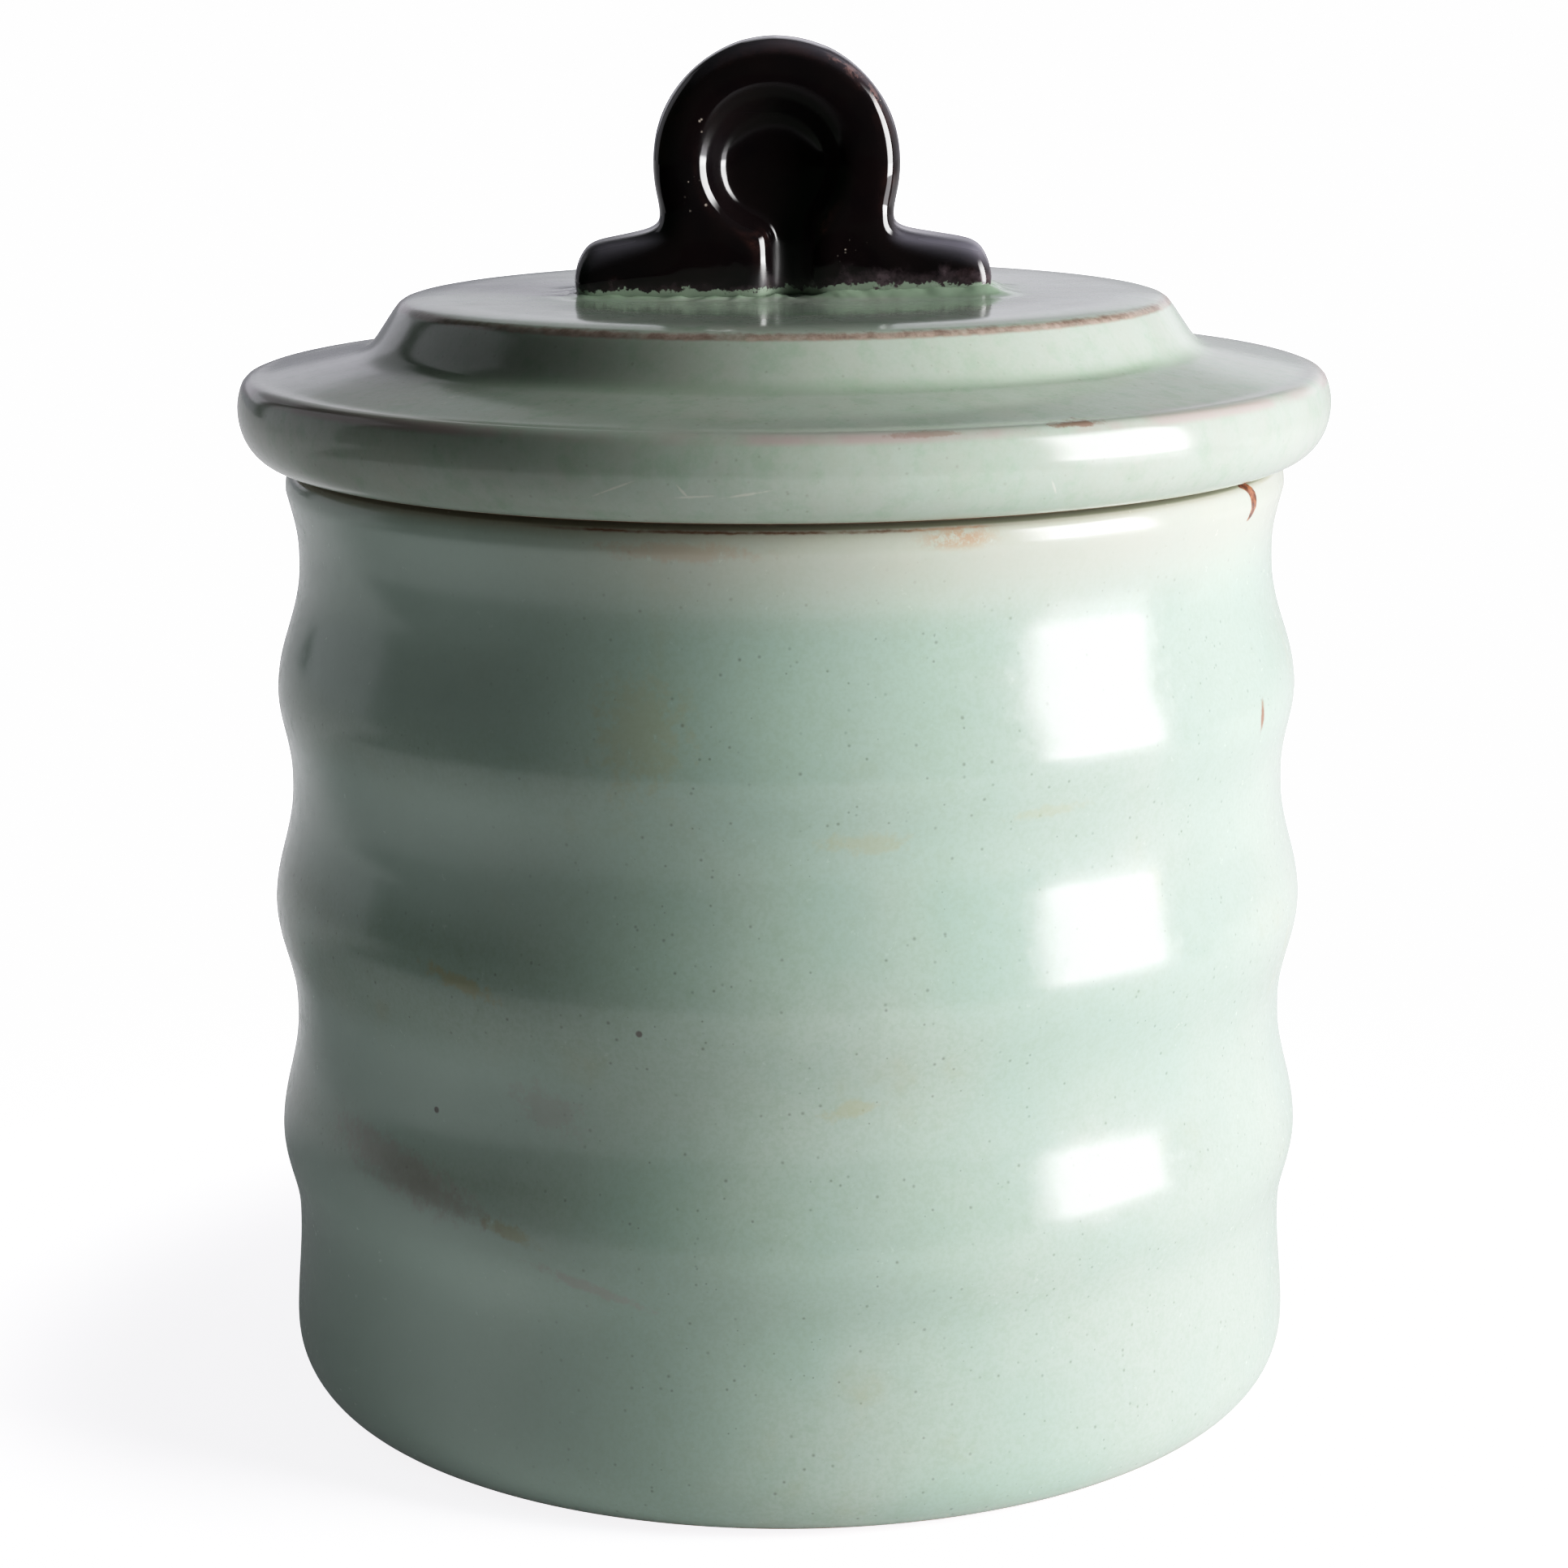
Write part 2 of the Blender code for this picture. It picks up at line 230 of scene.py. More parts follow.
def turned_piece(name, outline, material, shape=None):
    """Turns an outline into a closed mesh, and stores where its surface is so hollow that glaze pools."""
    verts, pool = [], []
    for ring, (point, rate) in enumerate(zip(outline, turning(outline))):
        at_pole = ring in (0, len(outline) - 1)
        for k in range(1 if at_pole else SEGMENTS):
            azimuth = math.tau * k / SEGMENTS
            radius, height = (0.0, point.y) if at_pole else hand_turned(point, azimuth)
            spot = Vector((radius * math.sin(azimuth), -radius * math.cos(azimuth), height))
            verts.append(shape(spot) if shape else spot)
            pool.append(smoothstep(0.12, 0.25, -rate))
    mesh = bpy.data.meshes.new(name)
    mesh.from_pydata(verts, [], ring_faces(len(outline)))
    store(mesh, "pool", pool)
    mesh.validate()
    return new_object(name, mesh, material)


def hand_turned(point, azimuth):
    """A point of the outline with the slight unevenness of a piece turned by hand."""
    wave = noise.noise(Vector((math.sin(azimuth), math.cos(azimuth), point.y * 18)))
    ripple = noise.noise(Vector((2 * math.sin(azimuth), 2 * math.cos(azimuth), point.y * 160)))
    fade = smoothstep(0.004, 0.02, point.x)
    return point.x + fade * HAND_WOBBLE * (wave + 0.35 * ripple), point.y


def ring_faces(rings):
    """Faces between rings of vertices, with a fan at each pole."""
    def vertex(ring, k):
        if ring == 0:
            return 0
        if ring == rings - 1:
            return 1 + (rings - 2) * SEGMENTS
        return 1 + (ring - 1) * SEGMENTS + k % SEGMENTS

    faces = []
    for ring in range(rings - 1):
        for k in range(SEGMENTS):
            corners = (vertex(ring, k), vertex(ring, k + 1), vertex(ring + 1, k + 1), vertex(ring + 1, k))
            faces.append(tuple(dict.fromkeys(corners)))
    return faces


def footprint_distance(x, y):
    """How far a point on the lid is outside the handle's foot, negative inside it."""
    round_off = 1.6 * MM
    over_x = abs(x) - (HANDLE_HIGH.x - round_off)
    over_y = abs(y) - (HANDLE_HIGH.y - round_off)
    outside = math.hypot(max(over_x, 0.0), max(over_y, 0.0))
    return outside + min(max(over_x, over_y), 0.0) - round_off


def with_glaze_bed(crown):
    """A shape for the lid: its top sags a little, and its glaze climbs the handle's foot to a ragged line."""
    def shape(spot):
        sag = CROWN_SAG * smoothstep(crown - 1.2 * MM, crown, spot.z)
        sag += CROWN_DIP * smoothstep(34 * MM, 8 * MM, math.hypot(spot.x, spot.y))
        distance = footprint_distance(spot.x, spot.y)
        if spot.z > crown - 0.2 * MM and distance < BED_REACH:
            climb = (1 - max(distance, 0.0) / BED_REACH) ** 2
            lean = BED_LEAN * smoothstep(2.5 * MM, 7 * MM, spot.x)
            ragged = noise.noise(Vector((spot.x, spot.y, 0.0)) * 420) + noise.noise(spot * 900) * 0.9
            spot.z += climb * (BED_RISE + lean + ragged * BED_RAGGED)
        spot.z -= sag
        return spot

    return shape


def on_outer_lip(point):
    return point.y > BODY_HIGH.z - LIP_DEPTH and point.x > LIP_INSIDE


def build_body(material):
    outline = even_outline(curved_outline(cad_outline("jar_body"), OUTLINE_STEP), OUTLINE_STEP)
    outline = softened(outline, BODY_CORNER_PASSES)
    outline = softened(outline, LIP_PASSES, on_outer_lip)
    body = turned_piece("glazed_body", outline, material)
    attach(body, "jar")
    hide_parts("jar_body")


def build_lid(material):
    points = cad_outline("lid")
    crown = points[-1].y
    outline = even_outline(curved_outline(points, OUTLINE_STEP), OUTLINE_STEP)
    outline = swollen(softened(outline, LID_CORNER_PASSES), BEAD_CREST, BEAD_SWELL, BEAD_REACH)
    lid = turned_piece("glazed_lid", outline, material, with_glaze_bed(crown))
    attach(lid, "lid")
    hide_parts("lid")


def carved(mesh):
    """Sinks the dishes' floors and spreads the slots, so that their walls stay steep under the glaze."""
    for vertex in mesh.vertices:
        x, y, z = vertex.co
        on_floor = abs(y) < DISH_FLOOR + 0.1 * MM
        in_dish = z > RING_HEIGHT - 7 * MM
        in_slot = z < RING_HEIGHT - 6 * MM and abs(x - SLOT_MIDDLE) < SLOT_HALF
        if on_floor:
            vertex.co.y = math.copysign(SUNK_FLOOR if in_dish else SUNK_SLOT, y)
            if in_dish:
                vertex.co.x = x * 1.02 - 0.6 * MM
                vertex.co.z = RING_HEIGHT + (z - RING_HEIGHT) * 1.02 + 0.7 * MM
        elif in_slot and abs(y) < HANDLE_HIGH.y + 0.01 * MM:
            vertex.co.x = SLOT_MIDDLE + (x - SLOT_MIDDLE) * SLOT_SPREAD


def rounded_copy(node):
    """A fine, even mesh of a node that thick glaze has swollen and rounded."""
    blank = bpy.data.objects.new("blank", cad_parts[node].data.copy())
    carved(blank.data)
    bpy.context.scene.collection.objects.link(blank)
    weld = blank.modifiers.new("weld", "WELD")
    weld.merge_threshold = 1e-6
    remesh = blank.modifiers.new("remesh", "REMESH")
    remesh.mode = "VOXEL"
    remesh.voxel_size = HANDLE_VOXEL
    settle = blank.modifiers.new("settle", "SMOOTH")
    settle.iterations = 6
    swell = blank.modifiers.new("swell", "DISPLACE")
    swell.mid_level = 0.0
    swell.strength = HANDLE_GROWTH
    flow = blank.modifiers.new("flow", "SMOOTH")
    flow.iterations = HANDLE_ROUNDING
    mesh = bpy.data.meshes.new_from_object(blank.evaluated_get(bpy.context.evaluated_depsgraph_get()))
    bpy.data.objects.remove(blank)
    return mesh


class Surface:
    """A fine, even mesh as arrays, for averaging over neighbouring vertices."""

    def __init__(self, mesh):
        self.places = np.array([vertex.co for vertex in mesh.vertices])
        self.normals = np.array([vertex.normal for vertex in mesh.vertices])
        self.edges = np.array([edge.vertices for edge in mesh.edges])
        self.both_ways = np.vstack((self.edges, self.edges[:, ::-1]))
        self.counts = np.bincount(self.both_ways[:, 0], minlength=len(self.places))

    def neighbour_mean(self, values):
        here, there = self.both_ways.T
        if values.ndim == 2:
            return np.column_stack([self.neighbour_mean(column) for column in values.T])
        return np.bincount(here, weights=values[there], minlength=len(self.places)) / self.counts

    def convexity(self):
        """How convex the mesh is round each vertex, per millimetre."""
        means = self.neighbour_mean(self.places)
        steps = self.places[self.edges[:, 0]] - self.places[self.edges[:, 1]]
        reach = np.mean((steps**2).sum(axis=1))
        rates = 4 * ((self.places - means) * self.normals).sum(axis=1) / reach * MM
        for _ in range(6):
            rates = (rates + self.neighbour_mean(rates)) / 2
        return rates


def soften_more(mesh):
    """Draws the upper edges of the handle's feet, and the hollows of its dishes, softer than the rest."""
    surface = Surface(mesh)
    sole = HANDLE_LOW.z
    shares = []
    for x, y, z in surface.places:
        outward = smoothstep(10 * MM, 13 * MM, abs(x))
        upper = smoothstep(sole + 1.5 * MM, sole + 3.5 * MM, z)
        sunk = smoothstep(HANDLE_HIGH.y - 1.2 * MM, HANDLE_HIGH.y - 2.2 * MM, abs(y))
        inward = smoothstep(10 * MM, 9 * MM, math.hypot(x, z - RING_HEIGHT))
        slot = smoothstep(5 * MM, 4 * MM, abs(x - SLOT_MIDDLE))
        shares.append(0.6 * max(outward * upper, sunk * max(inward, slot)))
    shares = np.array(shares)[:, None]
    for _ in range(EXTRA_ROUNDING):
        surface.places += shares * (surface.neighbour_mean(surface.places) - surface.places)
    mesh.vertices.foreach_set("co", surface.places.ravel())
    mesh.update()


def build_handle(material):
    """The handle with every edge drawn soft by its thick glaze, and its sole sunk into the lid."""
    mesh = rounded_copy("lid_handle")
    soften_more(mesh)
    store(mesh, "thin", [smoothstep(0.26, 0.44, rate) for rate in Surface(mesh).convexity()])
    sole = HANDLE_LOW.z
    normals = [vertex.normal.copy() for vertex in mesh.vertices]
    for vertex, normal in zip(mesh.vertices, normals):
        height = vertex.co.z
        side = math.copysign(smoothstep(7 * MM, 11 * MM, abs(vertex.co.x)), vertex.co.x)
        vertex.co.x += side * NECK_FILL * math.exp(-(((height - NECK_HEIGHT) / (2.2 * MM)) ** 2))
        vertex.co += normal * noise.noise(vertex.co * 130) * 0.12 * MM
        vertex.co.z -= HANDLE_ROOT * (1 - smoothstep(sole, sole + 4.5 * MM, height))
    handle = new_object("glazed_handle", mesh, material)
    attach(handle, "lid")
    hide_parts("lid_handle")


# --------------------------------------------------------------------------------------------- materials


class Nodes:
    """A node tree with one short call for each kind of node that the materials here use."""

    def __init__(self, tree):
        self.tree = tree
        tree.nodes.clear()

    def add(self, kind, **inputs):
        node = self.tree.nodes.new("ShaderNode" + kind)
        for name, value in inputs.items():
            self.put(node.inputs[name.replace("_", " ")], value)
        return node

    def put(self, socket, value):
        if isinstance(value, bpy.types.NodeSocket):
            self.tree.links.new(value, socket)
        elif isinstance(value, tuple) and socket.type == "RGBA":
            socket.default_value = (*value, 1.0)
        else:
            socket.default_value = value

    def math(self, operation, *values):
        node = self.add("Math")
        node.operation = operation
        for socket, value in zip(node.inputs, values):
            self.put(socket, value)
        return node.outputs[0]

    def product(self, first, *others):
        for other in others:
            first = self.math("MULTIPLY", first, other)
        return first

    def step(self, value, low, high, start=0.0, end=1.0):
        """Goes smoothly from start to end as the value goes from low to high."""
        node = self.add("MapRange", Value=value, From_Min=low, From_Max=high, To_Min=start, To_Max=end)
        node.interpolation_type = "SMOOTHSTEP"
        return node.outputs[0]

    def band(self, value, low, high, soft):
        """1 while the value is between low and high, fading to 0 over a soft width at each end."""
        rising = self.step(value, low - soft, low + soft)
        return self.product(rising, self.step(value, high - soft, high + soft, 1.0, 0.0))

    def mix(self, share, first, second):
        node = self.add("Mix")
        node.data_type = "RGBA"
        self.put(node.inputs[0], share)
        self.put(node.inputs[6], first)
        self.put(node.inputs[7], second)
        return node.outputs[2]

    def blend(self, share, first, second):
        """Mixes two plain values."""
        node = self.add("Mix")
        self.put(node.inputs[0], share)
        self.put(node.inputs[2], first)
        self.put(node.inputs[3], second)
        return node.outputs[0]

    def noise(self, place, scale, detail=3.0, roughness=0.5):
        node = self.add("TexNoise", Vector=place, Scale=scale, Detail=detail, Roughness=roughness)
        return node.outputs[0]

    def attribute(self, name):
        node = self.add("Attribute")
        node.attribute_name = name
        return node.outputs["Fac"]

    def specks(self, place, scale, share, size):
        """Round specks in a share of the cells of a random lattice, size being a part of a cell."""
        cells = self.add("TexVoronoi", Vector=place, Scale=scale)
        pick = self.add("SeparateColor", Color=cells.outputs["Color"])
        chosen = self.math("LESS_THAN", pick.outputs[0], share)
        reach = self.math("MULTIPLY", pick.outputs[1], size)
        dot = self.math("SUBTRACT", 1.0, self.step(cells.outputs["Distance"], 0.0, reach))
        return self.math("MULTIPLY", chosen, dot)


def material_nodes(name):
    material = bpy.data.materials.new(name)
    material.use_nodes = True
    return material, Nodes(material.node_tree)


class Jar:
    """Where a spot of the jar's surface is: radius, height and azimuth, with masks laid out in them."""

    def __init__(self, n):
        self.n = n
        self.place = n.add("TexCoord").outputs["Object"]
        spot = n.add("SeparateXYZ", Vector=self.place)
        x, y = spot.outputs["X"], spot.outputs["Y"]
        self.height = spot.outputs["Z"]
        self.radius = n.math("SQRT", n.math("ADD", n.math("POWER", x, 2.0), n.math("POWER", y, 2.0)))
        self.azimuth = n.math("ARCTAN2", x, n.math("MULTIPLY", y, -1.0))
        normal = n.add("SeparateXYZ", Vector=n.add("NewGeometry").outputs["Normal"])
        self.upward = normal.outputs["Z"]
        outward = n.math("ADD", n.product(x, normal.outputs["X"]), n.product(y, normal.outputs["Y"]))
        self.outside = n.math("GREATER_THAN", outward, n.product(self.radius, -0.3))
        self.fray = n.noise(self.place, 700.0, 4.0, 0.7)
        self.tatter = n.noise(self.place, 170.0, 4.0, 0.6)

    def from_spot(self, azimuth, height, tilt=0.0):
        """How far along and across a mark's own axis the surface is from a spot on the jar's side."""
        n = self.n
        turn = n.math("SUBTRACT", self.azimuth, math.radians(azimuth))
        along = n.math("MULTIPLY", turn, LID_HIGH.x - 4 * MM)
        up = n.math("SUBTRACT", self.height, height * MM)
        lean = math.radians(tilt)
        across = n.math("SUBTRACT", n.product(up, math.cos(lean)), n.product(along, math.sin(lean)))
        onward = n.math("ADD", n.product(along, math.cos(lean)), n.product(up, math.sin(lean)))
        return onward, across

    def oval(self, azimuth, height, half_long, half_wide, tilt=0.0, ragged=0.5):
        """A mark on the jar's outer side, 1 in its middle, with edges eaten by noise."""
        n = self.n
        onward, across = self.from_spot(azimuth, height, tilt)
        first = n.math("POWER", n.math("DIVIDE", onward, half_long * MM), 2.0)
        second = n.math("POWER", n.math("DIVIDE", across, half_wide * MM), 2.0)
        away = n.math("SQRT", n.math("ADD", first, second))
        away = n.math("ADD", away, n.product(n.math("SUBTRACT", self.fray, 0.5), ragged * 2))
        return n.product(self.outside, n.step(away, 0.35, 1.05, 1.0, 0.0))

    def disc(self, azimuth, height, radius):
        """1 inside a round spot on the jar's outer side, with a crisp edge."""
        n = self.n
        onward, across = self.from_spot(azimuth, height)
        away = n.math("SQRT", n.math("ADD", n.math("POWER", onward, 2.0), n.math("POWER", across, 2.0)))
        return n.product(self.outside, n.step(away, (radius - 0.12) * MM, (radius + 0.12) * MM, 1.0, 0.0))


# Colours of the celadon and its marks, with its painted light and shade, linear.
MINT = (0.382, 0.496, 0.426)
PALE_MINT = (0.447, 0.520, 0.456)
PAINTED_LIGHT_MINT = (0.520, 0.640, 0.575)
SEA_GREEN = (0.342, 0.476, 0.420)
OLIVE = (0.330, 0.420, 0.330)
POOL_GREEN = (0.265, 0.370, 0.255)
BED_GREEN = (0.300, 0.430, 0.290)
SPLASH_GREEN = (0.320, 0.395, 0.310)
PAINTED_SHADE_GREEN = (0.150, 0.175, 0.110)
DEEP_GREEN = (0.235, 0.375, 0.245)
STONE = (0.430, 0.445, 0.385)
CREAM = (0.520, 0.515, 0.440)
OCHRE = (0.420, 0.400, 0.235)
ROSE = (0.440, 0.355, 0.340)
RUST = (0.235, 0.120, 0.080)
BURNT_ORANGE = (0.400, 0.150, 0.060)
SCAR_COLOURS = (0.090, 0.035, 0.022), (0.330, 0.130, 0.070)
EDGE_COLOURS = (0.200, 0.120, 0.095), (0.400, 0.300, 0.250)
UMBER = (0.170, 0.085, 0.050)
DUSK = (0.260, 0.215, 0.180)
PLUM = (0.110, 0.060, 0.060)
TAN = (0.460, 0.300, 0.200)
IRON = (0.075, 0.060, 0.040)
CHALK = (0.640, 0.640, 0.560)
CLAY_COLOURS = (0.300, 0.215, 0.150), (0.430, 0.330, 0.250)

# Colours of the handle's glaze, linear.
BLACK_BROWNS = (0.0058, 0.0042, 0.0050), (0.0092, 0.0056, 0.0060)
THIN_RED = (0.070, 0.027, 0.022)
WORN_RED = (0.190, 0.105, 0.090)
PAINTED_SHEEN_GREY = (0.190, 0.182, 0.215)
CRYSTAL_MAUVE = (0.115, 0.082, 0.094)
SPARK_CREAM = (0.550, 0.480, 0.420)

# Where crystals sparkle on the handle, in millimetres to the right of the ring's middle and above it.
SPARK_SPOTS = ((-8.7, 4.4), (-10.2, -2.4), (-9.6, -4.4), (8.1, -8.1), (7.4, -9.8), (11.2, 6.6))


def celadon_ground(n, jar):
    """The glaze itself: soft clouds of mint and grey, a fine grain, ochre stains and specks of iron."""
    place = jar.place
    colour = n.mix(n.step(n.noise(place, 30.0, 3.0, 0.5), 0.36, 0.66, 0.05, 0.80), MINT, PALE_MINT)
    colour = n.mix(n.step(n.noise(place, 85.0, 3.0, 0.5), 0.42, 0.72, 0.0, 0.25), colour, SEA_GREEN)
    colour = n.mix(n.step(n.noise(place, 500.0, 4.0, 0.7), 0.46, 0.72, 0.0, 0.30), colour, OLIVE)
    colour = n.mix(n.step(n.noise(place, 1900.0, 2.0, 0.6), 0.35, 0.70, 0.0, 0.35), colour, OLIVE)
    stains = n.product(n.step(n.noise(place, 62.0, 4.0, 0.6), 0.58, 0.76), n.step(jar.tatter, 0.35, 0.65))
    colour = n.mix(n.product(stains, 0.35), colour, OCHRE)
    fine = n.specks(place, 1000.0, 0.45, 0.33)
    colour = n.mix(n.product(fine, 0.45), colour, IRON)
    coarse = n.specks(place, 260.0, 0.03, 0.08)
    colour = n.mix(n.product(coarse, 0.6), colour, IRON)
    dust = n.specks(place, 130.0, 0.06, 0.06)
    return n.mix(n.product(dust, 0.6), colour, CHALK)


def bare_clay(n, jar):
    return n.mix(jar.fray, *CLAY_COLOURS)


def glaze_surface(n, jar, colour, bare, soft, uneven):
    """Satin glaze with a faint ripple, and dry clay wherever the glaze is missing."""
    uneven = n.product(n.step(jar.fray, 0.45, 0.75), uneven)
    roughness = n.blend(bare, n.math("ADD", n.blend(jar.tatter, soft[0], soft[1]), uneven), 0.8)
    ripple = n.product(n.noise(jar.place, 75.0, 2.0), 0.75)
    grain = n.product(jar.fray, n.blend(bare, 0.012, 0.5))
    bump = n.add("Bump", Height=n.math("ADD", ripple, grain), Distance=0.00016, Strength=0.6)
    shader = n.add("BsdfPrincipled", Base_Color=colour, Roughness=roughness, Normal=bump.outputs[0], IOR=1.5)
    n.add("OutputMaterial", Surface=shader.outputs[0])


def strongest(n, *masks):
    first = masks[0]
    for mask in masks[1:]:
        first = n.math("MAXIMUM", first, mask)
    return first


def body_glaze():
    """Celadon on the body: creamy under the lip but painted weaker on the shaded left, with painted light low
    on the left, a painted shade band under the lid, a brown lip line, smudges, a scar and a crack.
    """
    material, n = material_nodes("celadon_body")
    jar = Jar(n)
    lip = BODY_HIGH.z
    colour = celadon_ground(n, jar)
    outer = n.step(jar.radius, lip * 0.5, LIP_INSIDE)
    cream = n.product(n.step(jar.height, lip - 13 * MM, lip - 3 * MM), n.blend(jar.tatter, 0.5, 0.9), outer)
    # Painted shade: the creamy collar is the glaze's own colour, but it is painted weaker on the left side,
    # where that side lies in shade.
    outside_shaded_left = n.math("MAXIMUM", n.step(jar.azimuth, -0.9, 0.2), n.step(jar.azimuth, -3.0, -2.0, 1.0, 0.0))
    colour = n.mix(n.product(cream, n.blend(outside_shaded_left, 0.35, 1.0)), colour, CREAM)

    # Painted light: on the left side, the troughs between the ribs and the lower body are painted a paler
    # mint, standing in for light thrown up from the table.
    widest = BODY_HIGH.x
    hollow = n.step(jar.radius, widest - 2.2 * MM, widest - 0.6 * MM, 0.8, 0.0)
    low = n.step(jar.height, 32 * MM, 40 * MM, 0.9, 0.0)
    painted_light_side = n.product(n.step(jar.azimuth, -0.72, -0.15, 1.0, 0.0), n.step(jar.azimuth, -2.6, -1.5))
    painted_light = n.product(n.math("MAXIMUM", hollow, low), painted_light_side)
    colour = n.mix(n.product(painted_light, outer), colour, PAINTED_LIGHT_MINT)

    ochre = strongest(
        n,
        n.product(jar.oval(-35, 60.0, 6.0, 1.1, -12, 1.3), 0.6),
        n.product(jar.oval(-15, 88.5, 6.0, 7.0, 0, 1.3), 0.3),
        n.product(jar.oval(6, 48.5, 4.0, 1.2, 15, 1.3), 0.4),
        n.product(jar.oval(-30, 33.4, 4.5, 1.0, -12, 1.0), 0.5),
        n.product(jar.oval(28, 79.0, 5.0, 0.9, 4, 1.3), 0.3),
        n.product(jar.oval(8, 77.0, 5.0, 1.4, 0, 1.3), 0.35),
    )
    colour = n.mix(ochre, colour, OCHRE)
    pink = strongest(
        n,
        n.product(jar.oval(-46, 37.0, 16.0, 3.2, -11, 0.8), 0.42),
        n.product(jar.oval(-21, 28.5, 8.0, 0.8, -16, 1.2), 0.35),
        n.product(jar.oval(-26, 47.0, 5.0, 3.0, -20, 1.2), 0.25),
    )
    colour = n.mix(pink, colour, ROSE)
    streak = jar.oval(-39, 35.2, 10.0, 1.5, -11, 1.0)
    colour = n.mix(n.product(streak, 0.14), colour, DUSK)
    dots = strongest(n, jar.disc(-15, 57.0, 0.35), jar.disc(-41, 44.5, 0.35))
    colour = n.mix(n.product(dots, 0.7), colour, PLUM)

    smudge = n.product(jar.oval(18, 108.2, 6.0, 1.6, 0, 0.8), n.step(jar.fray, 0.38, 0.60))
    smudge = n.math("MAXIMUM", smudge, n.product(jar.oval(-11, 107.2, 10.0, 1.3, 0, 1.0), 0.45))
    colour = n.mix(n.product(smudge, 0.8), colour, TAN)

    # Painted shade: a dark green band round the top of the lip, in the gap under the lid's bead.
    painted_shade = n.product(n.step(jar.height, lip - 0.75 * MM, lip - 0.5 * MM), outer)
    colour = n.mix(n.product(painted_shade, 0.7), colour, PAINTED_SHADE_GREEN)
    wavy = n.math("ADD", jar.height, n.product(n.math("SUBTRACT", jar.fray, 0.5), 0.35 * MM))
    line = n.product(n.band(wavy, lip - 0.92 * MM, lip - 0.70 * MM, 0.14 * MM), outer)
    front = n.band(jar.azimuth, math.radians(-24), math.radians(20), math.radians(5))
    line = n.product(line, n.step(jar.tatter, 0.35, 0.60, 0.3, 1.0), n.blend(front, 0.12, 1.0))
    burnt = n.band(jar.azimuth, math.radians(13), math.radians(21), math.radians(2))
    colour = n.mix(line, colour, n.mix(burnt, UMBER, BURNT_ORANGE))

    scar = n.product(jar.disc(61.8, 107.7, 2.15), n.math("SUBTRACT", 1.0, jar.disc(60.0, 107.1, 2.3)))
    colour = n.mix(scar, colour, n.mix(n.step(jar.fray, 0.40, 0.65), *SCAR_COLOURS))
    crack = jar.oval(62.6, 84.0, 2.3, 0.62, 84, 0.45)
    colour = n.mix(crack, colour, RUST)

    bare = n.math("LESS_THAN", n.math("ADD", jar.height, n.product(jar.tatter, 1.2 * MM)), 1.5 * MM)
    rim_top = n.step(jar.height, lip - 0.45 * MM, lip - 0.35 * MM)
    seat = n.product(rim_top, n.step(jar.radius, MOUTH_SEAT, MOUTH_SEAT - 0.3 * MM))
    bare = n.math("MAXIMUM", bare, seat)
    colour = n.mix(bare, colour, bare_clay(n, jar))
    glaze_surface(n, jar, colour, bare, (0.13, 0.17), 0.14)
    return material


def scratches(n, jar):
    """Short pale scuffs round the lid's bead."""
    return strongest(
        n,
        jar.oval(-16.0, 114.3, 3.0, 0.14, 22, 0.8),
        jar.oval(-9.5, 114.2, 1.1, 0.16, -52, 0.8),
        jar.oval(-8.5, 113.6, 2.3, 0.14, 4, 0.9),
        jar.oval(-3.5, 113.9, 3.0, 0.16, 10, 0.9),
        jar.oval(26.0, 113.6, 1.1, 0.14, -62, 0.6),
    )


